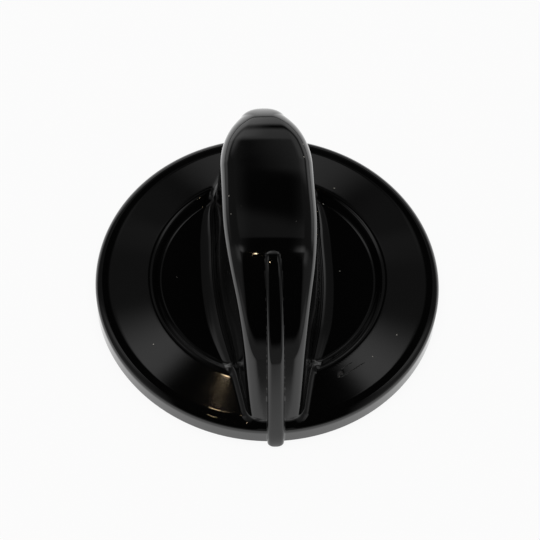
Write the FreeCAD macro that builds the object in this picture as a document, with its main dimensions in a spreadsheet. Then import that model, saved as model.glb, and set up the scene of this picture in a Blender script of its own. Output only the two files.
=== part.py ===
import FreeCAD, Part
import math
import os

import Sketcher

# Driving dimensions of the knob, in millimetres and degrees.
# The origin is the centre of the skirt on the panel side. The shaft runs along Z,
# the grip along Y, and the pointer is towards -Y.
DIMENSIONS = {
    # Round skirt with a raised ring around a recessed floor
    "skirt_radius": 30.0,
    "rim_corner_height": 3.5,
    "rim_round": 1.2,
    "ring_crest_radius": 20.2,
    "ring_crest_height": 4.75,
    "floor_radius": 18.8,
    "floor_height": 3.8,
    "wall": 2.2,
    # Boat-shaped plan of the grip at the height of its foot
    "grip_front_y": -30.4,
    "grip_front_half": 4.1,
    "grip_side_y": -4.7,
    "grip_side_half": 9.3,
    "grip_side_round": 70.0,
    "grip_rear_side_y": 17.1,
    "grip_rear_side_half": 8.9,
    "grip_rear_side_round": 23.0,
    "grip_rear_y": 27.3,
    "grip_rear_half": 2.25,
    "grip_rear_round": 4.1,
    "grip_draft": 3.0,
    # Side view of the grip's crest, by the sharp corners of its three lines
    "crest_foot_y": -33.0,
    "crest_foot_height": -3.43,
    "crest_front_y": -16.5,
    "crest_front_height": 25.85,
    "crest_front_round": 20.0,
    "crest_rear_y": 22.3,
    "crest_rear_height": 22.9,
    "crest_rear_round": 13.7,
    "crest_end_y": 33.0,
    "crest_end_height": 10.2,
    "crest_cut_height": 20.0,
    "crest_cut_reach": 8.0,
    "shoulder_round": 2.6,
    # Space inside the grip: how far each corner of the grip's form moves in, as a share of the wall
    "core_front_half_share": 0.5,
    "core_rear_side_share": 0.3,
    "core_rear_half_share": 0.5,
    "core_crest_foot_share": 0.2,
    "core_crest_front_share": 0.6,
    "core_crest_rear_share": 0.4,
    # Pointer rib on the front half of the crest
    "rib_width": 2.9,
    "rib_tip_y": -31.9,
    "rib_tip_height": 0.5,
    "rib_corner_y": -18.3,
    "rib_corner_height": 25.25,
    "rib_crest_round": 22.6,
    "rib_end_y": -4.4,
    "rib_root_depth": 3.0,
    "rib_root_corner_depth": 9.0,
    "rib_tip_round": 1.0,
    "rib_end_round": 1.3,
    "rib_edge_bevel": 0.4,
    # Hub with the socket for a 6 mm shaft with a flat
    "hub_radius": 6.0,
    "hub_height": 22.8,
    "hub_web_half": 7.2,
    "hub_web_width": 2.4,
    "shaft_radius": 3.05,
    "lead_in_radius": 3.25,
    "lead_in_depth": 4.5,
    "socket_depth": 15.0,
    "shaft_flat_y": 1.55,
    # Leaf spring in a slot behind the shaft's flat
    "slot_rear_y": 2.75,
    "slot_width": 3.3,
    "slot_depth": 14.0,
    "spring_width": 3.2,
    "spring_gauge": 0.4,
    "spring_foot_height": 4.9,
    "spring_head_height": 13.7,
    "spring_pad_length": 1.6,
    "spring_rise": 1.8,
    "spring_bow": 0.85,
    "spring_bend_round": 1.6,
    # Length by which joined or cut forms reach past the faces that they meet
    "overlap": 0.5,
}

# Length below which two places count as the same, in millimetres
TOUCH = 0.01
# Least upward share of the normal of a face that counts as part of a crest
CREST_UPWARD = 0.3

doc = FreeCAD.newDocument("oven_control_knob")


def make_sheet():
    """Put every driving dimension in a cell of its own, named by its alias."""
    sheet = doc.addObject("Spreadsheet::Sheet", "dims")
    for row, (alias, size) in enumerate(DIMENSIONS.items(), start=1):
        sheet.set(f"A{row}", alias)
        sheet.set(f"B{row}", str(size))
        sheet.setAlias(f"B{row}", alias)
    doc.recompute()
    return sheet


dims = make_sheet()


def measure(expression):
    """Value of a sheet expression as a plain number."""
    value = dims.evalExpression(expression)
    return float(getattr(value, "Value", value))


def new_body(label):
    """An empty body whose label names the piece."""
    body = doc.addObject("PartDesign::Body", label)
    body.Label = label
    return body


def new_sketch(body, name, plane, height=None):
    """A sketch on one of the body's own origin planes, raised by a sheet expression."""
    sketch = body.newObject("Sketcher::SketchObject", name)
    origin_planes = {feature.Role: feature for feature in body.Origin.OriginFeatures}
    sketch.AttachmentSupport = [(origin_planes[plane], "")]
    sketch.MapMode = "FlatFace"
    if height:
        sketch.setExpression("AttachmentOffset.Base.z", height)
    return sketch


def drive(sketch, constraint, expression):
    """Add a dimension to a sketch and bind it to a sheet expression."""
    index = sketch.addConstraint(constraint)
    sketch.setExpression(f"Constraints[{index}]", expression)


def corner_arc(before, corner, after, radius):
    """Centre and end points of the arc that rounds a corner with the given radius."""
    back = (before - corner).normalize()
    ahead = (after - corner).normalize()
    half_angle = back.getAngle(ahead) / 2
    setback = radius / math.tan(half_angle)
    middle = (back + ahead).normalize()
    centre = corner + middle * (radius / math.sin(half_angle))
    return centre, corner + back * setback, corner + ahead * setback


def draw_outline(sketch, corners):
    """Draw a closed outline of straight runs between corners (x, y, radius), all of them sheet
    expressions. Each corner is a construction point, and a radius rounds it with a tangent arc."""
    sharp = [FreeCAD.Vector(measure(x), measure(y), 0) for x, y, radius in corners]
    count = len(corners)
    starts = []
    ends = []
    arcs = {}
    for i in range(count):
        arrive = leave = sharp[i]
        if corners[i][2]:
            centre, arrive, leave = corner_arc(
                sharp[i - 1], sharp[i], sharp[(i + 1) % count], measure(corners[i][2])
            )
            arcs[i] = (centre, arrive, leave)
        ends.append(arrive)
        starts.append(leave)

    points = []
    for (x, y, radius), corner in zip(corners, sharp):
        point = sketch.addGeometry(Part.Point(corner), True)
        drive(sketch, Sketcher.Constraint("DistanceX", -1, 1, point, 1, corner.x), x)
        drive(sketch, Sketcher.Constraint("DistanceY", -1, 1, point, 1, corner.y), y)
        points.append(point)

    runs = []
    for i in range(count):
        j = (i + 1) % count
        run = sketch.addGeometry(Part.LineSegment(starts[i], ends[j]))
        runs.append(run)
        for corner, line_end in ((i, 1), (j, 2)):
            if corners[corner][2]:
                sketch.addConstraint(Sketcher.Constraint("PointOnObject", points[corner], 1, run))
            else:
                sketch.addConstraint(Sketcher.Constraint("Coincident", points[corner], 1, run, line_end))

    for i, (centre, arrive, leave) in arcs.items():
        radius = measure(corners[i][2])
        first = math.atan2(arrive.y - centre.y, arrive.x - centre.x)
        last = math.atan2(leave.y - centre.y, leave.x - centre.x)
        turns_left = (arrive - sharp[i]).cross(leave - sharp[i]).z < 0
        arc_ends = (1, 2) if turns_left else (2, 1)
        span = (first, last) if turns_left else (last, first)
        circle = Part.Circle(centre, FreeCAD.Vector(0, 0, 1), radius)
        arc = sketch.addGeometry(Part.ArcOfCircle(circle, *span))
        sketch.addConstraint(Sketcher.Constraint("Tangent", runs[i - 1], 2, arc, arc_ends[0]))
        sketch.addConstraint(Sketcher.Constraint("Tangent", arc, arc_ends[1], runs[i], 1))
        drive(sketch, Sketcher.Constraint("Radius", arc, radius), corners[i][2])


def draw_circle(sketch, radius):
    """Draw a circle about the sketch's origin."""
    circle = sketch.addGeometry(Part.Circle(FreeCAD.Vector(), FreeCAD.Vector(0, 0, 1), measure(radius)))
    sketch.addConstraint(Sketcher.Constraint("Coincident", circle, 3, -1, 1))
    drive(sketch, Sketcher.Constraint("Radius", circle, measure(radius)), radius)


def add_feature(body, kind, name, profile, sizes, settings=None):
    """Add a sketch-based feature, bind its sizes to the sheet, and check that it changes the solid
    in the way its kind should."""
    before = body.Shape.Volume if body.Tip else 0.0
    feature = body.newObject(f"PartDesign::{kind}", name)
    feature.Profile = profile
    for setting, value in (settings or {}).items():
        setattr(feature, setting, value)
    for size, expression in sizes.items():
        feature.setExpression(size, expression)
    doc.recompute()
    removes = kind in ("Pocket", "Groove")
    if (feature.Shape.Volume < before) != removes:
        raise RuntimeError(f"{name} does not change the solid as a {kind} should")
    return feature


def dress_edges(body, kind, name, base, edges, size):
    """Round the given edges of a feature with a Fillet, or bevel them with a Chamfer."""
    dressing = body.newObject(f"PartDesign::{kind}", name)
    dressing.Base = (base, edges)
    dressing.setExpression("Radius" if kind == "Fillet" else "Size", size)
    doc.recompute()
    return dressing


def edges_where(shape, wanted):
    """Names of a shape's edges for which wanted(edge, its two faces) is true."""
    names = []
    for number, edge in enumerate(shape.Edges, start=1):
        faces = shape.ancestorsOfType(edge, Part.Face)
        if len(faces) == 2 and wanted(edge, faces):
            names.append(f"Edge{number}")
    return names


def middle_normal(face):
    """Outward normal of a face in the middle of its parameter range."""
    u_low, u_high, v_low, v_high = face.ParameterRange
    return face.normalAt((u_low + u_high) / 2, (v_low + v_high) / 2)


def is_crest(face):
    """True for the faces that the crest's side view makes: level across X and facing upwards."""
    normal = middle_normal(face)
    return abs(normal.x) < TOUCH and normal.z > CREST_UPWARD


def mirrored(corners):
    """A closed outline from its right-hand corners, front to rear, and their mirror images."""
    left = [(f"-({x})", y, radius) for x, y, radius in reversed(corners)]
    return corners + left


def raise_grip(body, prefix, inset, foot_height):
    """Raise the boat-shaped form of the grip, all round smaller by inset: a drafted pad on the plan
    outline, cut off above the crest's side view."""
    plan = new_sketch(body, f"{prefix}_plan", "XY_Plane", foot_height)
    draw_outline(plan, mirrored([
        (f"dims.grip_front_half - {inset} * dims.core_front_half_share",
         f"dims.grip_front_y + {inset}", None),
        (f"dims.grip_side_half - {inset}", "dims.grip_side_y", f"dims.grip_side_round - {inset}"),
        (f"dims.grip_rear_side_half - {inset}",
         f"dims.grip_rear_side_y - {inset} * dims.core_rear_side_share",
         f"dims.grip_rear_side_round - {inset}"),
        (f"dims.grip_rear_half - {inset} * dims.core_rear_half_share",
         f"dims.grip_rear_y - {inset}", f"dims.grip_rear_round - {inset}"),
    ]))
    add_feature(
        body, "Pad", f"{prefix}_pad", plan,
        {"Length": "dims.crest_front_height + dims.overlap", "TaperAngle": "-dims.grip_draft"},
    )
    side_view = new_sketch(body, f"{prefix}_crest", "YZ_Plane")
    foot_y = f"dims.crest_foot_y + {inset}"
    foot_z = f"dims.crest_foot_height - {inset} * dims.core_crest_foot_share"
    end_y = f"dims.crest_end_y - {inset}"
    cut_top = "dims.crest_front_height + dims.crest_cut_height"
    draw_outline(side_view, [
        (foot_y, foot_z, None),
        (f"dims.crest_front_y + {inset} * dims.core_crest_front_share",
         f"dims.crest_front_height - {inset}", f"dims.crest_front_round - {inset}"),
        (f"dims.crest_rear_y - {inset} * dims.core_crest_rear_share",
         f"dims.crest_rear_height - {inset}", f"dims.crest_rear_round - {inset}"),
        (end_y, f"dims.crest_end_height - {inset}", None),
        (end_y, cut_top, None),
        (f"{foot_y} - dims.crest_cut_reach", cut_top, None),
        (f"{foot_y} - dims.crest_cut_reach", foot_z, None),
    ])
    return add_feature(
        body, "Pocket", f"{prefix}_crest_cut", side_view, {},
        {"Type": "ThroughAll", "Midplane": True},
    )


def make_rib_form():
    """The pointer rib before it is joined to the grip: a plate on the mid-plane, with a rounded tip
    and rear end and bevelled edges along its crest."""
    body = new_body("rib_form")
    side_view = new_sketch(body, "rib_side_view", "YZ_Plane")
    draw_outline(side_view, [
        ("dims.rib_tip_y", "dims.rib_tip_height", None),
        ("dims.rib_corner_y", "dims.rib_corner_height", "dims.rib_crest_round"),
        ("dims.rib_end_y", "dims.rib_corner_height", None),
        ("dims.rib_end_y", "dims.rib_corner_height - dims.rib_root_depth", None),
        ("dims.rib_corner_y + dims.rib_root_depth",
         "dims.rib_corner_height - dims.rib_root_corner_depth", None),
        ("dims.rib_tip_y + dims.rib_root_depth", "dims.rib_tip_height", None),
    ])
    plate = add_feature(
        body, "Pad", "rib_plate", side_view, {"Length": "dims.rib_width"}, {"Midplane": True}
    )

    side_x = measure("dims.rib_width / 2") - TOUCH
    end_y = measure("dims.rib_end_y") - TOUCH
    end_edges = edges_where(
        plate.Shape,
        lambda edge, faces: abs(edge.CenterOfMass.x) > side_x and edge.BoundBox.YMin > end_y,
    )
    rounded_end = dress_edges(body, "Fillet", "rib_end", plate, end_edges, "dims.rib_end_round")

    tip_y = measure("dims.rib_tip_y") + TOUCH
    tip_edge = edges_where(rounded_end.Shape, lambda edge, faces: edge.BoundBox.YMax < tip_y)
    rounded_tip = dress_edges(body, "Fillet", "rib_tip", rounded_end, tip_edge, "dims.rib_tip_round")

    crest_edges = edges_where(
        rounded_tip.Shape,
        lambda edge, faces: abs(edge.CenterOfMass.x) > side_x
        and edge.CenterOfMass.y < end_y
        and any(is_crest(face) for face in faces),
    )
    dress_edges(body, "Chamfer", "rib_crest", rounded_tip, crest_edges, "dims.rib_edge_bevel")
    return body


def make_grip_core():
    """The space inside the hollow grip: the grip's own form, smaller by the wall."""
    body = new_body("grip_core")
    raise_grip(body, "core", "dims.wall", "dims.floor_height - dims.wall - dims.overlap")
    return body


def combine(body, name, tool, kind):
    """Join another body's form to this one, or cut it away."""
    before = body.Shape.Volume
    step = body.newObject("PartDesign::Boolean", name)
    step.Type = kind
    step.addObject(tool)
    doc.recompute()
    if (step.Shape.Volume < before) != (kind == "Cut"):
        raise RuntimeError(f"{name} does not change the solid")
    return step


def make_knob_body():
    """The whole moulding: grip, skirt, pointer rib and, underneath, the hollow grip with its hub."""
    body = new_body("knob_body")

    # Grip, with rounded shoulders along its crest
    grip = raise_grip(body, "grip", "0", "dims.floor_height - dims.wall")
    shoulders = edges_where(grip.Shape, lambda edge, faces: is_crest(faces[0]) != is_crest(faces[1]))
    dress_edges(body, "Fillet", "grip_shoulders", grip, shoulders, "dims.shoulder_round")

    # Skirt: an even wall with a rounded rim, a raised ring and a recessed floor
    section = new_sketch(body, "skirt_section", "XZ_Plane")
    draw_outline(section, [
        ("0", "dims.floor_height", None),
        ("dims.floor_radius", "dims.floor_height", None),
        ("dims.ring_crest_radius", "dims.ring_crest_height", None),
        ("dims.skirt_radius", "dims.rim_corner_height", "dims.rim_round"),
        ("dims.skirt_radius", "0", None),
        ("dims.skirt_radius - dims.wall", "0", None),
        ("dims.skirt_radius - dims.wall", "dims.rim_corner_height - dims.wall", None),
        ("dims.ring_crest_radius", "dims.ring_crest_height - dims.wall", None),
        ("dims.floor_radius", "dims.floor_height - dims.wall", None),
        ("0", "dims.floor_height - dims.wall", None),
    ])
    add_feature(
        body, "Revolution", "skirt", section, {}, {"ReferenceAxis": (section, ["V_Axis"]), "Angle": 360.0}
    )

    combine(body, "pointer_rib", make_rib_form(), "Fuse")
    combine(body, "hollow_grip", make_grip_core(), "Cut")

    # Hub with a web to each side wall of the grip
    hub_circle = new_sketch(body, "hub_circle", "XY_Plane")
    draw_circle(hub_circle, "dims.hub_radius")
    add_feature(body, "Pad", "hub", hub_circle, {"Length": "dims.hub_height"})
    web_section = new_sketch(body, "web_section", "XY_Plane", "dims.floor_height - dims.wall")
    draw_outline(web_section, [
        ("-dims.hub_web_half", "-dims.hub_web_width / 2", None),
        ("dims.hub_web_half", "-dims.hub_web_width / 2", None),
        ("dims.hub_web_half", "dims.hub_web_width / 2", None),
        ("-dims.hub_web_half", "dims.hub_web_width / 2", None),
    ])
    add_feature(
        body, "Pad", "hub_webs", web_section, {"Length": "dims.hub_height - dims.floor_height + dims.wall"}
    )

    # Shaft socket: a wider round lead-in, then a land that matches the shaft's flat, and the spring's slot
    socket_circle = new_sketch(body, "socket_circle", "XY_Plane")
    draw_circle(socket_circle, "dims.shaft_radius")
    add_feature(
        body, "Pocket", "socket", socket_circle, {"Length": "dims.socket_depth"}, {"Reversed": True}
    )
    lead_in_circle = new_sketch(body, "lead_in_circle", "XY_Plane")
    draw_circle(lead_in_circle, "dims.lead_in_radius")
    add_feature(
        body, "Pocket", "lead_in", lead_in_circle, {"Length": "dims.lead_in_depth"}, {"Reversed": True}
    )
    land_section = new_sketch(body, "land_section", "XY_Plane", "dims.lead_in_depth")
    draw_outline(land_section, [
        ("-dims.shaft_radius", "dims.shaft_flat_y", None),
        ("dims.shaft_radius", "dims.shaft_flat_y", None),
        ("dims.shaft_radius", "dims.shaft_radius + dims.overlap", None),
        ("-dims.shaft_radius", "dims.shaft_radius + dims.overlap", None),
    ])
    add_feature(
        body, "Pad", "flat_land", land_section, {"Length": "dims.socket_depth - dims.lead_in_depth"}
    )
    slot_section = new_sketch(body, "slot_section", "XY_Plane")
    draw_outline(slot_section, [
        ("-dims.slot_width / 2", "dims.shaft_flat_y - dims.overlap", None),
        ("dims.slot_width / 2", "dims.shaft_flat_y - dims.overlap", None),
        ("dims.slot_width / 2", "dims.slot_rear_y", None),
        ("-dims.slot_width / 2", "dims.slot_rear_y", None),
    ])
    add_feature(
        body, "Pocket", "spring_slot", slot_section, {"Length": "dims.slot_depth"}, {"Reversed": True}
    )
    return body


def make_shaft_spring():
    """Bent steel leaf: two pads lie on the slot's rear wall and the bow between them leans on the
    shaft's flat."""
    body = new_body("shaft_spring")
    rear = "dims.slot_rear_y"
    bowed = "dims.slot_rear_y - dims.spring_bow"
    bend_round = "dims.spring_bend_round"
    heights = [
        "dims.spring_foot_height + dims.spring_pad_length",
        "dims.spring_foot_height + dims.spring_pad_length + dims.spring_rise",
        "dims.spring_head_height - dims.spring_pad_length - dims.spring_rise",
        "dims.spring_head_height - dims.spring_pad_length",
    ]
    rear_side = [(rear, "dims.spring_foot_height", None)]
    rear_side += [(y, z, bend_round) for y, z in zip((rear, bowed, bowed, rear), heights)]
    rear_side += [(rear, "dims.spring_head_height", None)]
    front_side = [(f"{y} - dims.spring_gauge", z, radius) for y, z, radius in reversed(rear_side)]
    side_view = new_sketch(body, "spring_side_view", "YZ_Plane")
    draw_outline(side_view, rear_side + front_side)
    add_feature(
        body, "Pad", "spring_leaf", side_view, {"Length": "dims.spring_width"}, {"Midplane": True}
    )
    return body


pieces = [make_knob_body(), make_shaft_spring()]
doc.recompute()

failed = [item.Label for item in doc.Objects if {"Invalid", "Error"} & set(item.State)]
if failed:
    raise RuntimeError(f"failed to build: {failed}")
for piece in pieces:
    if piece.Shape.isNull() or not piece.Shape.isValid() or len(piece.Shape.Solids) != 1:
        raise RuntimeError(f"{piece.Label} is not one valid solid")

os.makedirs("parts", exist_ok=True)
for piece in pieces:
    piece.Shape.exportStep(f"parts/{piece.Label}.step")
    print(piece.Label, round(piece.Shape.Volume, 1), "mm3")
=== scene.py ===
import math

import bmesh
import bpy
import numpy as np
from mathutils import Matrix, Vector


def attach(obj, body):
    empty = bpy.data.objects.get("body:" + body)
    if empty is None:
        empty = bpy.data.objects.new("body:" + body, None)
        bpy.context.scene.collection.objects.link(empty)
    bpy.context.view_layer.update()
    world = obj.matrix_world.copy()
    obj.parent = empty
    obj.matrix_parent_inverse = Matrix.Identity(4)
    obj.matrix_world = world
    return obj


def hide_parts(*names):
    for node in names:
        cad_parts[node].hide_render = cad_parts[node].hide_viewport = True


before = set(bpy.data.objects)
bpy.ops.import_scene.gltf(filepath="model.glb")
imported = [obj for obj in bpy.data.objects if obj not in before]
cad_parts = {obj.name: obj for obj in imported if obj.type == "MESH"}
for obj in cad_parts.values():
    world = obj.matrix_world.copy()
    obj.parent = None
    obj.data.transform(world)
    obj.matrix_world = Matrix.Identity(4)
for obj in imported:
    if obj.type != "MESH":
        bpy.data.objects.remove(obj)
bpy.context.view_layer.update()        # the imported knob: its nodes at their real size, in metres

# Knob moulding: skirt, grip and pointer rib in one piece, pressed from black phenolic resin in a
# polished steel mould. The outside is worked out as a distance field with every edge rounded as the
# mould rounds it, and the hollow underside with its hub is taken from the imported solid.
MM = 0.001
SKIRT_RADIUS = 30.0
FLOOR_RADIUS, FLOOR_HEIGHT = 18.8, 3.8
RING_RADIUS, RING_HEIGHT = 20.2, 4.75
RIM_HEIGHT = 3.5
RIM_ROUND = 1.2
RING_ROUND = 2.0
STEP_ROUND = 1.6
# The grip's foot is filleted more on the floor than where it crosses the ring
FLOOR_FOOT_ROUND, RING_FOOT_ROUND = 2.8, 1.2
FOOT_CHANGE_START, FOOT_CHANGE_END = 13.0, 22.0
# The shoulder is rounder at the grip's rear end than along its sides
SHOULDER_ROUND, REAR_SHOULDER_ROUND = 2.6, 4.6
REAR_START, REAR_END = 12.0, 24.0
CROWN_RADIUS = 55.0
GRIP_DRAFT = math.radians(3.0)
GRIP_FOOT_HEIGHT = 1.6
# Right half of the grip's plan from the rear to the front: x, y and the corner's radius
GRIP_PLAN = [(0.0, 27.55, 0.0), (3.5, 27.55, 5.5), (8.9, 17.1, 22.0), (9.3, -4.7, 70.0),
             (4.1, -30.4, 0.0), (0.0, -30.4, 0.0)]
# Side view of the grip's crest from the front to the rear: y, z and the corner's radius
GRIP_CREST = [(-33.0, -3.43, 0.0), (-16.5, 25.6, 20.0), (3.0, 24.95, 220.0), (22.3, 23.1, 15.0),
              (33.0, 10.2, 0.0)]
# Side view of the pointer rib's top from its tip over the crest to its rear end: y, z and radius
RIB_LINE = [(-31.15, 0.1, 0.0), (-31.15, 1.9, 6.0), (-18.3, 25.25, 19.0), (-6.8, 25.25, 0.0)]
RIB_HALF_WIDTH, RIB_DEPTH = 1.45, 3.0
RIB_EDGE_ROUND, RIB_TIP_ROUND = 0.75, 0.5
# Columns of the grids, how deep the hollow's outside lies under the moulding's, and where it ends below
HALF_COLUMNS, HOLLOW_HALF_COLUMNS = 210, 90
HOLLOW_DEPTH, HOLLOW_BOTTOM = 1.0, -1.0
MERGE_DISTANCE, SLIVER_LENGTH = 0.0005, 0.0001
SHARP_ANGLE = math.radians(32)


def runs_and_arcs(corners):
    """Straight runs between corners, each corner rounded by a tangent arc. A run is its start,
    direction, left normal and length; an arc is its centre, radius and first and last normals."""
    points = np.array([corner[:2] for corner in corners])
    radii = np.array([corner[2] for corner in corners])
    directions = np.diff(points, axis=0)
    lengths = np.linalg.norm(directions, axis=1)
    directions /= lengths[:, None]
    normals = np.stack([-directions[:, 1], directions[:, 0]], axis=1)
    turns = np.arccos(np.clip((directions[:-1] * directions[1:]).sum(axis=1), -1, 1))
    setbacks = np.zeros(len(points))
    setbacks[1:-1] = radii[1:-1] * np.tan(turns / 2)
    runs = []
    for k, direction in enumerate(directions):
        start = points[k] + direction * setbacks[k]
        runs.append((start, direction, normals[k], lengths[k] - setbacks[k] - setbacks[k + 1]))
    arcs = []
    for k in range(1, len(points) - 1):
        centre = points[k] - directions[k - 1] * setbacks[k] - normals[k - 1] * radii[k]
        arcs.append((centre, radii[k], normals[k - 1], normals[k]))
    return runs, arcs


def trace(corners, spacing):
    """Points and left normals along the rounded line through the corners, about spacing apart."""
    runs, arcs = runs_and_arcs(corners)
    points, normals = [], []
    for k, (start, direction, normal, length) in enumerate(runs):
        along = np.linspace(0, length, max(2, int(length / spacing) + 1))
        points.append(start + along[:, None] * direction)
        normals.append(np.repeat(normal[None], len(along), axis=0))
        if k < len(arcs):
            centre, radius, first, last = arcs[k]
            turn = math.acos(np.clip(first @ last, -1, 1))
            angle = np.linspace(0, turn, max(4, int(radius * turn / spacing)))[1:-1, None]
            side = np.array([first[1], -first[0]])
            facing = np.cos(angle) * first + np.sin(angle) * side
            points.append(centre + radius * facing)
            normals.append(facing)
    return np.concatenate(points), np.concatenate(normals)


def line_field(corners, p, q):
    """Distance of the points (p, q) from the rounded line through the corners, positive on its left,
    with the two parts of the normal: the nearest of the runs and arcs that a point lies beside."""
    runs, arcs = runs_and_arcs(corners)
    nearest = np.full(p.shape, np.inf)
    normal_p = np.zeros(p.shape)
    normal_q = np.zeros(p.shape)
    beside = []
    for k, (start, direction, normal, length) in enumerate(runs):
        along = (p - start[0]) * direction[0] + (q - start[1]) * direction[1]
        inside = ((along >= 0) | (k == 0)) & ((along <= length) | (k == len(runs) - 1))
        away = (p - start[0]) * normal[0] + (q - start[1]) * normal[1]
        beside.append((inside, away, normal[0], normal[1]))
    for centre, radius, first, last in arcs:
        w_p, w_q = p - centre[0], q - centre[1]
        inside = (first[0] * w_q - first[1] * w_p <= 0) & (w_p * last[1] - w_q * last[0] <= 0)
        reach = np.maximum(np.hypot(w_p, w_q), 1e-9)
        beside.append((inside, reach - radius, w_p / reach, w_q / reach))
    for inside, away, toward_p, toward_q in beside:
        closer = inside & (np.abs(away) < np.abs(nearest))
        nearest = np.where(closer, away, nearest)
        normal_p = np.where(closer, toward_p, normal_p)
        normal_q = np.where(closer, toward_q, normal_q)
    return nearest, normal_p, normal_q


def rounded_edge(first, second, radius):
    """Overlap of two fields (distance, normal) with the edge between them rounded: beside the edge the
    distance is measured from the line where a ball of that radius touches both faces from within."""
    a, normal_a = first
    b, normal_b = second
    cosine = np.clip((normal_a * normal_b).sum(axis=-1), -0.999, 0.999)
    reach_a = a + radius
    reach_b = b + radius
    part_a = (reach_a - cosine * reach_b) / (1 - cosine ** 2)
    part_b = (reach_b - cosine * reach_a) / (1 - cosine ** 2)
    beside = (part_a > 0) & (part_b > 0)
    reach = np.sqrt(np.maximum(part_a * reach_a + part_b * reach_b, 1e-12))
    facing = (part_a[..., None] * normal_a + part_b[..., None] * normal_b) / reach[..., None]
    flat = np.where((a > b)[..., None], normal_a, normal_b)
    return np.where(beside, reach - radius, np.maximum(a, b)), np.where(beside[..., None], facing, flat)


def filleted(first, second, radius):
    """Union of two fields with the inner corner between them filled: the rounded edge of what is
    outside both."""
    distance, normal = rounded_edge((-first[0], -first[1]), (-second[0], -second[1]), radius)
    return -distance, -normal


def grip_field(points):
    """Distance from the grip: its drafted walls and its crest, crowned across by x squared over twice
    the crown's radius, meet in a rounded shoulder."""
    x, y, z = points[..., 0], points[..., 1], points[..., 2]
    side = np.where(x < 0, -1.0, 1.0)
    plan, out_x, out_y = line_field(GRIP_PLAN, np.abs(x), y)
    lean, upright = math.sin(GRIP_DRAFT), math.cos(GRIP_DRAFT)
    wall = plan * upright + (z - GRIP_FOOT_HEIGHT) * lean
    wall_normal = np.stack([out_x * side * upright, out_y * upright, np.full(x.shape, lean)], axis=-1)
    crest, crest_y, crest_z = line_field(GRIP_CREST, y, z)
    crest = crest + x ** 2 / (2 * CROWN_RADIUS)
    crest_normal = np.stack([x / CROWN_RADIUS, crest_y, crest_z], axis=-1)
    crest_normal /= np.linalg.norm(crest_normal, axis=-1, keepdims=True)
    rearward = np.clip((y - REAR_START) / (REAR_END - REAR_START), 0, 1)
    shoulder = SHOULDER_ROUND + rearward * (REAR_SHOULDER_ROUND - SHOULDER_ROUND)
    return rounded_edge((wall, wall_normal), (crest, crest_normal), shoulder)


def outside_field(points):
    """Distance from the moulding's outside: the skirt's floor, step and sloping ring, turned about the
    axis, with the grip filleted onto them, all inside the skirt's outer wall with a rounded rim."""
    x, y, z = points[..., 0], points[..., 1], points[..., 2]
    radius = np.maximum(np.hypot(x, y), 1e-9)

    def turned(from_radius, from_height, to_radius, to_height):
        """Field of the cone through two points of the section, with the skirt below it."""
        run, rise = to_radius - from_radius, to_height - from_height
        length = math.hypot(run, rise)
        out, up = -rise / length, run / length
        distance = out * (radius - from_radius) + up * (z - from_height)
        return distance, np.stack([out * x / radius, out * y / radius, np.full(x.shape, up)], axis=-1)

    floor = turned(0, FLOOR_HEIGHT, FLOOR_RADIUS, FLOOR_HEIGHT)
    step = turned(FLOOR_RADIUS, FLOOR_HEIGHT, RING_RADIUS, RING_HEIGHT)
    ring = turned(RING_RADIUS, RING_HEIGHT, SKIRT_RADIUS, RIM_HEIGHT)
    wall = turned(SKIRT_RADIUS, RIM_HEIGHT, SKIRT_RADIUS, 0)
    top = filleted(floor, rounded_edge(step, ring, RING_ROUND), STEP_ROUND)
    on_ring = np.clip((radius - FOOT_CHANGE_START) / (FOOT_CHANGE_END - FOOT_CHANGE_START), 0, 1)
    on_ring = on_ring ** 2 * (3 - 2 * on_ring)
    foot_round = FLOOR_FOOT_ROUND + on_ring * (RING_FOOT_ROUND - FLOOR_FOOT_ROUND)
    return rounded_edge(filleted(grip_field(points), top, foot_round), wall, RIM_ROUND)


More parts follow.
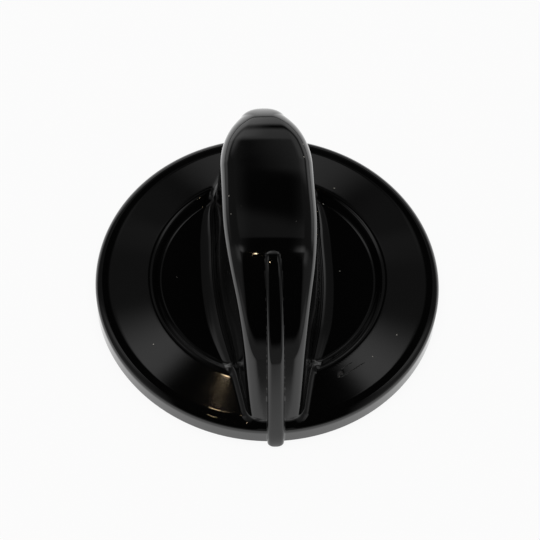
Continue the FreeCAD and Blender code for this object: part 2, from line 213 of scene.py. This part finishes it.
def skin(half_columns, level, bottom):
    """Grid of the moulding's outside at a distance level from it, in millimetres. One parameter runs
    round the grip's plan. The other runs from the spine over the shoulder, down the wall, across the
    floor and ring and over the rim to the bottom. Each point starts on the sharp-edged form and is
    moved along the field's normal until it lies on the rounded one."""
    front_cap, front_pole, rear_pole = -26.5, -21.0, 18.0
    shoulder_reach, foot_reach = 4.6, 3.6
    least_crest_share, most_floor_share = 0.3, 0.6
    plan_spacing, crest_spacing = 0.2, 0.3
    crest_rows, shoulder_rows, foot_rows, floor_rows, rim_rows, wall_rows = 12, 40, 44, 52, 10, 4
    step_reach, step_crowding = 1.5, 2.5
    radius_samples = 601
    moves = 14
    rim_start = SKIRT_RADIUS - RIM_ROUND - 0.1

    # Columns, evenly spread round the plan with a blunt front
    plan, _ = trace(GRIP_PLAN, plan_spacing)
    plan = plan[plan[:, 1] > front_cap]
    plan = np.concatenate([plan, [[plan[-1, 0], front_cap], [0.0, front_cap]]])
    run = np.concatenate([[0], np.cumsum(np.linalg.norm(np.diff(plan, axis=0), axis=1))])
    even = np.linspace(0, run[-1], half_columns + 1)
    right = np.stack([np.interp(even, run, plan[:, 0]), np.interp(even, run, plan[:, 1])], axis=1)
    left = right[-2:0:-1] * [-1, 1]
    foot = np.concatenate([right, left])
    spine = np.stack([np.zeros(len(foot)), np.clip(foot[:, 1], front_pole, rear_pole)], axis=1)
    width = np.linalg.norm(foot - spine, axis=1)
    out = (foot - spine) / width[:, None]

    # Key places of each column on the sharp-edged form
    crest_line, _ = trace(GRIP_CREST, crest_spacing)

    def crest_height(y):
        return np.interp(y, crest_line[:, 0], crest_line[:, 1])

    def skirt_height(radius):
        return np.interp(radius, [FLOOR_RADIUS, RING_RADIUS, SKIRT_RADIUS],
                         [FLOOR_HEIGHT, RING_HEIGHT, RIM_HEIGHT])

    top_height = crest_height(foot[:, 1])
    lean_in = (top_height - GRIP_FOOT_HEIGHT) * math.tan(GRIP_DRAFT)
    foot_radius = np.linalg.norm(foot, axis=1)
    foot_height = skirt_height(foot_radius)
    wall_height = top_height - foot_height
    crest_reach = np.maximum(width - lean_in - shoulder_reach, least_crest_share * width)
    floor_reach = np.minimum(foot_reach, most_floor_share * (rim_start - foot_radius))

    def column_points(reach, height):
        """Points at a reach from the spine and a height, both given as column by row."""
        flat = spine[:, None] + out[:, None] * reach[..., None]
        return np.concatenate([flat, height[..., None]], axis=-1)

    def crest_points(reach):
        y = spine[:, None, 1] + out[:, None, 1] * reach
        return column_points(reach, crest_height(y))

    def part(rows, first=False):
        """Row parameters from 0 to 1, without the 0 unless they are the first."""
        return np.linspace(0, 1, rows + 1)[None, 0 if first else 1:]

    zones = [crest_points(crest_reach[:, None] * part(crest_rows, first=True))]
    # Over the shoulder to the middle of the wall
    shoulder = (width - lean_in)[:, None]
    down = part(shoulder_rows) * ((shoulder[:, 0] - crest_reach) + wall_height / 2)[:, None]
    over = np.minimum(crest_reach[:, None] + down, shoulder)
    fall = np.maximum(down - (shoulder - crest_reach[:, None]), 0)
    zones.append(column_points(over + fall * math.tan(GRIP_DRAFT), crest_points(over)[..., 2] - fall))
    # From the middle of the wall over the foot to the floor
    down = part(foot_rows) * (wall_height / 2 + floor_reach)[:, None]
    fall = np.minimum(down, wall_height[:, None] / 2)
    across = down - fall
    reach = shoulder + (wall_height[:, None] / 2 + fall) * math.tan(GRIP_DRAFT) + across
    zones.append(column_points(reach, (top_height - wall_height / 2)[:, None] - fall))
    # Across the floor and the ring, with closer rows on the step
    dense_radius = np.linspace(0, SKIRT_RADIUS, radius_samples)
    on_step = np.abs(dense_radius - (FLOOR_RADIUS + RING_RADIUS) / 2) < step_reach
    density = 1 + step_crowding * on_step
    count = np.cumsum(density)
    toward = (spine * out).sum(axis=1)
    start = spine + out * (width + floor_reach)[:, None]
    from_count = np.interp(np.linalg.norm(start, axis=1), dense_radius, count)[:, None]
    to_count = np.interp(rim_start, dense_radius, count)
    radius = np.interp(from_count + part(floor_rows) * (to_count - from_count), count, dense_radius)
    offset = (spine ** 2).sum(axis=1) - toward ** 2
    reach = -toward[:, None] + np.sqrt(radius ** 2 - offset[:, None])
    zones.append(column_points(reach, skirt_height(radius)))
    # Over the rim and down the outer wall
    edge = zones[-1][:, -1, :2]
    edge = edge / np.linalg.norm(edge, axis=1, keepdims=True)
    bend = part(rim_rows) * math.pi / 2
    radius = np.concatenate([rim_start + (SKIRT_RADIUS - rim_start) * np.sin(bend),
                             np.full((1, wall_rows), SKIRT_RADIUS)], axis=1)
    wall_top = RIM_HEIGHT - RIM_ROUND
    height = np.concatenate([wall_top + (skirt_height(rim_start) - wall_top) * np.cos(bend),
                             wall_top + part(wall_rows) * (bottom - wall_top)], axis=1)
    rim = edge[:, None] * radius[..., None]
    zones.append(np.concatenate([rim, np.broadcast_to(height[..., None], rim.shape[:2] + (1,))], axis=-1))

    points = np.concatenate(zones, axis=1)
    for _ in range(moves):
        distance, normal = outside_field(points)
        points = points - (distance - level)[..., None] * normal
    points[:, -1, 2] = bottom
    return points


def closed_piece(name, points):
    """Object of a closed grid, columns by rows: the columns join into rings, coinciding points of the
    first ring are merged, and the last ring is filled flat."""
    columns, rows = points.shape[:2]
    index = np.arange(columns * rows).reshape(columns, rows)
    after = np.roll(index, -1, axis=0)
    quads = np.stack([index[:, :-1], index[:, 1:], after[:, 1:], after[:, :-1]], axis=-1).reshape(-1, 4)
    faces = quads.tolist() + [index[::-1, -1].tolist()]
    mesh = bpy.data.meshes.new(name)
    mesh.from_pydata((points.reshape(-1, 3) * MM).tolist(), [], faces)
    weld(mesh)
    piece = bpy.data.objects.new(name, mesh)
    bpy.context.scene.collection.objects.link(piece)
    return piece


def weld(mesh):
    """Merge the mesh's coinciding points and turn its faces outwards."""
    shape = bmesh.new()
    shape.from_mesh(mesh)
    bmesh.ops.remove_doubles(shape, verts=shape.verts, dist=MERGE_DISTANCE * MM)
    bmesh.ops.dissolve_degenerate(shape, edges=shape.edges, dist=SLIVER_LENGTH * MM)
    bmesh.ops.recalc_face_normals(shape, faces=shape.faces)
    shape.to_mesh(mesh)
    shape.free()


def rib_piece():
    """The pointer rib: a flat top with two rounded edges, carried along the rib's line. Near each end
    the half width follows the sine of an angle, so that the rear end is round in plan, where it also
    sinks by the edge's round, and the tip's corners are rounded."""
    line_spacing, blunt_angle, widest_edge = 0.05, 0.1, 0.9
    tip_rows, middle_rows, rear_rows, edge_rows = 6, 120, 14, 7
    line, normals = trace(RIB_LINE, line_spacing)
    run = np.concatenate([[0], np.cumsum(np.linalg.norm(np.diff(line, axis=0), axis=1))])
    tip = np.linspace(0, math.pi / 2, tip_rows)
    rear = np.linspace(math.pi / 2, blunt_angle, rear_rows)
    middle = np.linspace(RIB_TIP_ROUND, run[-1] - RIB_HALF_WIDTH, middle_rows)[1:-1]
    along = np.concatenate([RIB_TIP_ROUND * (1 - np.cos(tip)), middle,
                            run[-1] - RIB_HALF_WIDTH * (1 - np.cos(rear))])
    half = np.concatenate([RIB_HALF_WIDTH - RIB_TIP_ROUND * (1 - np.sin(tip)),
                           np.full(len(middle), RIB_HALF_WIDTH), RIB_HALF_WIDTH * np.sin(rear)])[:, None]
    sink = np.concatenate([np.zeros(len(tip) + len(middle)),
                           RIB_EDGE_ROUND * (1 - np.sin(rear))])[:, None]
    edge = np.minimum(RIB_EDGE_ROUND, widest_edge * half)
    bend = np.linspace(0, math.pi / 2, edge_rows)
    side = half - edge * (1 - np.cos(bend))
    height = -edge * (1 - np.sin(bend)) - sink
    root = np.full(half.shape, -RIB_DEPTH)
    x = np.concatenate([half, side, -side[:, ::-1], -half], axis=1)
    height = np.concatenate([root, height, height[:, ::-1], root], axis=1)
    at = np.stack([np.interp(along, run, line[:, k]) for k in (0, 1)], axis=1)
    facing = np.stack([np.interp(along, run, normals[:, k]) for k in (0, 1)], axis=1)
    points = np.concatenate([x[..., None], at[:, None] + facing[:, None] * height[..., None]], axis=-1)
    index = np.arange(x.size).reshape(x.shape)
    beside = np.roll(index, -1, axis=1)
    quads = np.stack([index[:-1], beside[:-1], beside[1:], index[1:]], axis=-1).reshape(-1, 4)
    mesh = bpy.data.meshes.new("pointer_rib")
    mesh.from_pydata((points.reshape(-1, 3) * MM).tolist(), [],
                     quads.tolist() + [index[0].tolist(), index[-1, ::-1].tolist()])
    weld(mesh)
    piece = bpy.data.objects.new("pointer_rib", mesh)
    bpy.context.scene.collection.objects.link(piece)
    return piece


def combine(piece, tool, operation):
    """Join a closed tool to the piece or cut it out of it, and remove the tool."""
    step = piece.modifiers.new(operation, "BOOLEAN")
    step.operation = operation
    step.solver = "MANIFOLD"
    step.object = tool
    shown = piece.evaluated_get(bpy.context.evaluated_depsgraph_get())
    mesh = bpy.data.meshes.new_from_object(shown)
    piece.modifiers.clear()
    piece.data = mesh
    bpy.data.objects.remove(tool)


moulding = closed_piece("knob_moulding", skin(HALF_COLUMNS, 0.0, 0.0))
combine(moulding, rib_piece(), "UNION")
hollow = closed_piece("hollow", skin(HOLLOW_HALF_COLUMNS, -HOLLOW_DEPTH, HOLLOW_BOTTOM))
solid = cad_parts["knob_body"]
underside = bpy.data.objects.new("underside", solid.data.copy())
bpy.context.scene.collection.objects.link(underside)
weld(underside.data)
combine(hollow, underside, "DIFFERENCE")
combine(moulding, hollow, "DIFFERENCE")
moulding.data.shade_smooth()
moulding.data.set_sharp_from_angle(angle=SHARP_ANGLE)
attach(moulding, "root")
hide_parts("knob_body")


def linear(code):
    """Linear colour of an sRGB hex value."""
    channels = [int(code[i:i + 2], 16) / 255 for i in (0, 2, 4)]
    return [c / 12.92 if c <= 0.04045 else ((c + 0.055) / 1.055) ** 2.4 for c in channels] + [1.0]


def add_node(tree, kind, settings=None, links=None):
    """Add a node, set its properties or the values of its inputs, and link its inputs to outputs."""
    node = tree.nodes.new(kind)
    for key, value in (settings or {}).items():
        if isinstance(key, str) and hasattr(node, key):
            setattr(node, key, value)
        else:
            node.inputs[key].default_value = value
    for key, output in (links or {}).items():
        tree.links.new(output, node.inputs[key])
    return node


def new_material(name):
    """An empty material with only its output node."""
    material = bpy.data.materials.new(name)
    material.use_nodes = True
    material.node_tree.nodes.clear()
    return material, material.node_tree


# Marks on the front right of the ring: middle x and y, turn in degrees, half length, half width and
# how ragged the edge is
CHIP = (11.6, -19.6, 54.0, 0.80, 0.45, 0.9)
SCRATCHES = [(13.66, -18.96, 32.8, 1.95, 0.10, 0.3), (12.67, -18.20, 33.4, 0.90, 0.08, 0.3)]
MARK_HEIGHT, MARK_REACH, MARK_DEPTH = 4.4, 4.0, 0.12
# Sizes of the finish's patterns: ragged edges, dust cells, wiped patches and the mould's ripple
RAGGED_SIZE, DUST_SPACING, WIPED_SIZE, RIPPLE_SIZE = 0.5, 2.2, 9.0, 2.5
RIPPLE_HEIGHT = 0.05
DUST_RADIUS_SHARE, DUST_FREE_SHARE, DUST_LEAST_UPWARD = 0.055, 0.75, 0.6


def gloss_phenolic():
    """Black phenolic resin from a polished mould: black all through, with a hard wet-looking gloss.
    The eye finds a faint ripple from the mould, patches that wiping has dulled, a few specks of dust,
    and on the ring a chip with two scratches that show the duller resin underneath."""
    material, tree = new_material("gloss_black_phenolic")
    coords = add_node(tree, "ShaderNodeTexCoord")
    place = coords.outputs["Object"]

    # Chip and scratches: one inside each long ellipse, falling to nothing at its edge
    ragged = add_node(tree, "ShaderNodeTexNoise", {"Scale": 1 / (RAGGED_SIZE * MM), "Detail": 2.0},
                      {"Vector": place})
    worn = None
    for x, y, turn, half_length, half_width, raggedness in [CHIP] + SCRATCHES:
        across = add_node(tree, "ShaderNodeMapping",
                          {"vector_type": "TEXTURE", "Location": (x * MM, y * MM, MARK_HEIGHT * MM),
                           "Rotation": (0.0, 0.0, math.radians(turn)),
                           "Scale": (half_length * MM, half_width * MM, MARK_REACH * MM)},
                          {"Vector": place})
        away = add_node(tree, "ShaderNodeVectorMath", {"operation": "LENGTH"},
                        {0: across.outputs["Vector"]})
        uneven = add_node(tree, "ShaderNodeMath", {"operation": "MULTIPLY_ADD", 1: raggedness},
                          {0: ragged.outputs["Fac"], 2: away.outputs["Value"]})
        mark = add_node(tree, "ShaderNodeMapRange",
                        {"interpolation_type": "SMOOTHSTEP", "From Min": 1.5, "From Max": 0.95},
                        {"Value": uneven.outputs[0]})
        if worn is None:
            worn = mark.outputs["Result"]
        else:
            worn = add_node(tree, "ShaderNodeMath", {"operation": "MAXIMUM"},
                            {0: worn, 1: mark.outputs["Result"]}).outputs[0]

    # Dust: a small speck in about one cell in four, on what faces up
    cells = add_node(tree, "ShaderNodeTexVoronoi", {"Scale": 1 / (DUST_SPACING * MM)}, {"Vector": place})
    near = add_node(tree, "ShaderNodeMath", {"operation": "LESS_THAN", 1: DUST_RADIUS_SHARE},
                    {0: cells.outputs["Distance"]})
    chance = add_node(tree, "ShaderNodeSeparateXYZ", {}, {0: cells.outputs["Color"]})
    kept = add_node(tree, "ShaderNodeMath", {"operation": "GREATER_THAN", 1: DUST_FREE_SHARE},
                    {0: chance.outputs["X"]})
    facing = add_node(tree, "ShaderNodeSeparateXYZ", {}, {0: coords.outputs["Normal"]})
    upward = add_node(tree, "ShaderNodeMath", {"operation": "GREATER_THAN", 1: DUST_LEAST_UPWARD},
                      {0: facing.outputs["Z"]})
    specks = add_node(tree, "ShaderNodeMath", {"operation": "MULTIPLY"},
                      {0: near.outputs[0], 1: kept.outputs[0]})
    dust = add_node(tree, "ShaderNodeMath", {"operation": "MULTIPLY"},
                    {0: specks.outputs[0], 1: upward.outputs[0]})

    # Colour: black resin, a shade lighter where it is broken, pale where dust lies
    resin = add_node(tree, "ShaderNodeMix",
                     {"data_type": "RGBA", "A": linear("030303"), "B": linear("1C1B1B")}, {"Factor": worn})
    colour = add_node(tree, "ShaderNodeMix", {"data_type": "RGBA", "B": linear("8E8B84")},
                      {"Factor": dust.outputs[0], "A": resin.outputs["Result"]})

    # Gloss: dulled a little in wiped patches, and dull in the marks and under dust
    wiped = add_node(tree, "ShaderNodeTexNoise", {"Scale": 1 / (WIPED_SIZE * MM), "Detail": 3.0},
                     {"Vector": place})
    polish = add_node(tree, "ShaderNodeMapRange",
                      {"From Min": 0.35, "From Max": 0.7, "To Min": 0.045, "To Max": 0.085},
                      {"Value": wiped.outputs["Fac"]})
    dull = add_node(tree, "ShaderNodeMath", {"operation": "MAXIMUM"}, {0: worn, 1: dust.outputs[0]})
    rough = add_node(tree, "ShaderNodeMix", {"data_type": "FLOAT", "B": 0.4},
                     {"Factor": dull.outputs[0], "A": polish.outputs["Result"]})

    # Relief: the mould's ripple, then the broken marks cut into it
    ripple = add_node(tree, "ShaderNodeTexNoise", {"Scale": 1 / (RIPPLE_SIZE * MM), "Detail": 1.0},
                      {"Vector": place})
    waved = add_node(tree, "ShaderNodeBump", {"Strength": 0.006, "Distance": RIPPLE_HEIGHT * MM},
                     {"Height": ripple.outputs["Fac"]})
    broken = add_node(tree, "ShaderNodeBump", {"Strength": 0.7, "Distance": MARK_DEPTH * MM, "invert": True},
                      {"Height": worn, "Normal": waved.outputs["Normal"]})
    surface = add_node(tree, "ShaderNodeBsdfPrincipled", {"IOR": 1.5},
                       {"Base Color": colour.outputs["Result"], "Roughness": rough.outputs["Result"],
                        "Normal": broken.outputs["Normal"]})
    add_node(tree, "ShaderNodeOutputMaterial", {}, {"Surface": surface.outputs["BSDF"]})
    return material


moulding.data.materials.clear()
moulding.data.materials.append(gloss_phenolic())

# Leaf spring: a strip of bright spring steel, cut and bent, pushed into its slot beside the shaft's
# flat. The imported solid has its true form, so only its finish is made here.
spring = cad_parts["shaft_spring"]
ROLLING_LINE_WIDTH, ROLLING_STRETCH = 0.12, 0.04


def rolled_steel():
    """Bright rolled spring steel: grey metal with fine rolling lines along the strip."""
    material, tree = new_material("rolled_spring_steel")
    place = add_node(tree, "ShaderNodeTexCoord").outputs["Object"]
    along = add_node(tree, "ShaderNodeMapping", {"Scale": (1.0, 1.0, ROLLING_STRETCH)}, {"Vector": place})
    lines = add_node(tree, "ShaderNodeTexNoise", {"Scale": 1 / (ROLLING_LINE_WIDTH * MM), "Detail": 2.0},
                     {"Vector": along.outputs["Vector"]})
    rough = add_node(tree, "ShaderNodeMapRange", {"To Min": 0.22, "To Max": 0.38},
                     {"Value": lines.outputs["Fac"]})
    surface = add_node(tree, "ShaderNodeBsdfPrincipled",
                       {"Base Color": linear("C4C5C8"), "Metallic": 1.0},
                       {"Roughness": rough.outputs["Result"]})
    add_node(tree, "ShaderNodeOutputMaterial", {}, {"Surface": surface.outputs["BSDF"]})
    return material


spring.data.materials.clear()
spring.data.materials.append(rolled_steel())

# Stage: a plain white table in a studio with two soft light panels overhead, a white wall behind and
# a dark gap between, so that the black gloss has something to mirror, and a small warm lamp.
FLOOR_HALF = 1.5
FLOOR_DROP = 0.2 * MM
TABLE_GLOW = 0.92
# Painted light: in reflections the table glows brighter than white near the object and fades to painted
# shade further off
TABLE_NEAR, TABLE_FAR = 0.09, 0.5
TABLE_NEAR_PAINTED_GLOW, TABLE_FAR_PAINTED_SHADE = 1.4, 0.2
floor_mesh = bpy.data.meshes.new("floor")
floor_mesh.from_pydata([(x * FLOOR_HALF, y * FLOOR_HALF, -FLOOR_DROP) for x, y in
                        ((-1, -1), (1, -1), (1, 1), (-1, 1))], [], [(0, 1, 2, 3)])
floor = bpy.data.objects.new("floor", floor_mesh)
bpy.context.scene.collection.objects.link(floor)


def white_table():
    """White laminate table: a camera sees it as white with a faint shadow of the object, and what is
    glossy mirrors it as a white sheet with a painted glow near the object and painted shade further off."""
    material, tree = new_material("white_laminate")
    path = add_node(tree, "ShaderNodeLightPath")
    mirrored = add_node(tree, "ShaderNodeMath", {"operation": "MAXIMUM"},
                        {0: path.outputs["Is Glossy Ray"], 1: path.outputs["Is Transmission Ray"]})
    seen = add_node(tree, "ShaderNodeMath", {"operation": "MAXIMUM"},
                    {0: path.outputs["Is Camera Ray"], 1: mirrored.outputs[0]})
    share = add_node(tree, "ShaderNodeMath", {"operation": "MULTIPLY", 1: TABLE_GLOW},
                     {0: seen.outputs[0]})
    place = add_node(tree, "ShaderNodeTexCoord").outputs["Object"]
    away = add_node(tree, "ShaderNodeVectorMath", {"operation": "LENGTH"}, {0: place})
    # Painted glow and painted shade, by distance from the object, for mirrored rays only
    painted_glow_and_shade = add_node(tree, "ShaderNodeMapRange",
                     {"From Min": TABLE_NEAR, "From Max": TABLE_FAR,
                      "To Min": TABLE_NEAR_PAINTED_GLOW, "To Max": TABLE_FAR_PAINTED_SHADE},
                     {"Value": away.outputs["Value"]})
    glow = add_node(tree, "ShaderNodeMix", {"data_type": "FLOAT", "A": 1.0},
                    {"Factor": mirrored.outputs[0], "B": painted_glow_and_shade.outputs["Result"]})
    matt = add_node(tree, "ShaderNodeBsdfDiffuse", {"Color": linear("F4F4F4")})
    white = add_node(tree, "ShaderNodeEmission", {"Color": linear("FFFFFF")},
                     {"Strength": glow.outputs["Result"]})
    mix = add_node(tree, "ShaderNodeMixShader", {},
                   {0: share.outputs[0], 1: matt.outputs[0], 2: white.outputs[0]})
    add_node(tree, "ShaderNodeOutputMaterial", {}, {"Surface": mix.outputs[0]})
    return material


floor_mesh.materials.append(white_table())

CAMERA_AZIMUTH = math.radians(-5.1)
# Light panels of the studio: level, then soft edges as axis, where the edge begins and where it is full.
# The axes are parts of the direction, seen from the camera's side: x to the right, y to the back, z up,
# side is x either way, and gap is side less the width of the dark gap, which opens towards the camera.
PANELS = [
    (0.10, [("gap", 0.10, 0.20)]),
    (0.12, [("gap", 0.15, 0.40), ("y", 0.40, 0.25)]),
    (0.80, [("side", 0.13, 0.195), ("side", 0.50, 0.20), ("y", 0.30, 0.33), ("y", 0.46, 0.35)]),
    (0.12, [("y", 0.545, 0.58), ("y", 0.63, 0.60), ("side", 0.30, 0.15)]),
    (0.50, [("y", 0.685, 0.735), ("z", 0.38, 0.50)]),
    (0.45, [("x", 0.0, -0.15), ("y", 0.72, 0.80)]),
    (0.80, [("z", 0.36, 0.22), ("y", 0.35, 0.75)]),
    (0.35, [("side", 0.28, 0.42), ("side", 0.85, 0.50), ("y", 0.05, 0.20), ("y", 0.42, 0.30)]),
    (0.25, [("z", 0.40, 0.20), ("y", 0.0, -0.30)]),
]
ROOM_LEVEL = 0.012
GAP_START, GAP_END, GAP_OPENING = 0.35, -0.65, 0.55


def studio():
    """Surroundings of a small studio: white to the camera, and a dark room with soft light panels to
    everything else. Each panel's level is multiplied by its soft edges, and the panels are added up."""
    world = bpy.data.worlds.new("studio")
    world.use_nodes = True
    tree = world.node_tree
    tree.nodes.clear()
    place = add_node(tree, "ShaderNodeTexCoord").outputs["Generated"]
    turned = add_node(tree, "ShaderNodeMapping", {"Rotation": (0.0, 0.0, -CAMERA_AZIMUTH)},
                      {"Vector": place})
    parts = add_node(tree, "ShaderNodeSeparateXYZ", {}, {0: turned.outputs["Vector"]})
    side = add_node(tree, "ShaderNodeMath", {"operation": "ABSOLUTE"}, {0: parts.outputs["X"]})
    opening = add_node(tree, "ShaderNodeMapRange",
                       {"From Min": GAP_START, "From Max": GAP_END, "To Max": GAP_OPENING},
                       {"Value": parts.outputs["Y"]})
    gap = add_node(tree, "ShaderNodeMath", {"operation": "SUBTRACT"},
                   {0: side.outputs[0], 1: opening.outputs["Result"]})
    axes = {"x": parts.outputs["X"], "y": parts.outputs["Y"], "z": parts.outputs["Z"],
            "side": side.outputs[0], "gap": gap.outputs[0]}
    total = None
    for level, edges in PANELS:
        glow = None
        for axis, begins, full in edges:
            edge = add_node(tree, "ShaderNodeMapRange",
                            {"interpolation_type": "SMOOTHSTEP", "From Min": begins, "From Max": full,
                             "To Max": level if glow is None else 1.0}, {"Value": axes[axis]})
            if glow is None:
                glow = edge.outputs["Result"]
            else:
                glow = add_node(tree, "ShaderNodeMath", {"operation": "MULTIPLY"},
                                {0: glow, 1: edge.outputs["Result"]}).outputs[0]
        if total is None:
            total = add_node(tree, "ShaderNodeMath", {"operation": "ADD", 1: ROOM_LEVEL},
                             {0: glow}).outputs[0]
        else:
            total = add_node(tree, "ShaderNodeMath", {"operation": "ADD"},
                             {0: total, 1: glow}).outputs[0]
    path = add_node(tree, "ShaderNodeLightPath")
    level = add_node(tree, "ShaderNodeMix", {"data_type": "FLOAT", "B": 1.0},
                     {"Factor": path.outputs["Is Camera Ray"], "A": total})
    sky = add_node(tree, "ShaderNodeBackground", {"Color": linear("FFFFFF")},
                   {"Strength": level.outputs["Result"]})
    add_node(tree, "ShaderNodeOutputWorld", {}, {"Surface": sky.outputs[0]})
    return world


bpy.context.scene.world = studio()

# Small warm lamp, a little behind the zenith
LAMP_DIRECTION = (-0.079, 0.268, 0.960)
LAMP_DISTANCE, LAMP_RADIUS, LAMP_POWER = 1.2, 0.008, 0.30
lamp_light = bpy.data.lights.new("warm_lamp", "POINT")
lamp_light.energy = LAMP_POWER
lamp_light.shadow_soft_size = LAMP_RADIUS
lamp_light.color = linear("FFE2B8")[:3]
lamp = bpy.data.objects.new("warm_lamp", lamp_light)
lamp.location = Matrix.Rotation(CAMERA_AZIMUTH, 3, "Z") @ Vector(LAMP_DIRECTION) * LAMP_DISTANCE
bpy.context.scene.collection.objects.link(lamp)

# Soft overhead light that only evens out the matt surfaces
FILL_SIZE, FILL_HEIGHT, FILL_POWER = 1.2, 1.2, 9.0
fill_light = bpy.data.lights.new("overhead", "AREA")
fill_light.size = FILL_SIZE
fill_light.energy = FILL_POWER
fill = bpy.data.objects.new("overhead", fill_light)
fill.location = (0.0, 0.0, FILL_HEIGHT)
fill.visible_glossy = False
bpy.context.scene.collection.objects.link(fill)

# Camera, aimed so that the skirt's rim falls where the photograph has it
CAMERA_ELEVATION = math.radians(58.8)
CAMERA_ROLL = math.radians(2.7)
CAMERA_DISTANCE = 0.6
SENSOR_WIDTH = 36.0
IMAGE_SIZE = 540
AIM_PIXEL = (267.4, 281.6)
AIM_POINT = (0.0, 0.0, 3.07 * MM)
PIXELS_PER_METRE = 5730.0
back = np.array([math.sin(CAMERA_AZIMUTH) * math.cos(CAMERA_ELEVATION),
                 -math.cos(CAMERA_AZIMUTH) * math.cos(CAMERA_ELEVATION), math.sin(CAMERA_ELEVATION)])
lens = bpy.data.cameras.new("camera")
lens.sensor_width = SENSOR_WIDTH
lens.lens = PIXELS_PER_METRE * CAMERA_DISTANCE * SENSOR_WIDTH / IMAGE_SIZE
lens.shift_x = (IMAGE_SIZE / 2 - AIM_PIXEL[0]) / IMAGE_SIZE
lens.shift_y = (AIM_PIXEL[1] - IMAGE_SIZE / 2) / IMAGE_SIZE
camera = bpy.data.objects.new("camera", lens)
bpy.context.scene.collection.objects.link(camera)
level_right = np.array([math.cos(CAMERA_AZIMUTH), math.sin(CAMERA_AZIMUTH), 0.0])
level_up = np.cross(back, level_right)
right = math.cos(CAMERA_ROLL) * level_right + math.sin(CAMERA_ROLL) * level_up
up = np.cross(back, right)
place = np.array(AIM_POINT) + back * CAMERA_DISTANCE
camera.matrix_world = Matrix([[right[k], up[k], back[k], place[k]] for k in range(3)] + [[0, 0, 0, 1]])
bpy.context.scene.camera = camera
bpy.context.scene.view_settings.view_transform = "Standard"
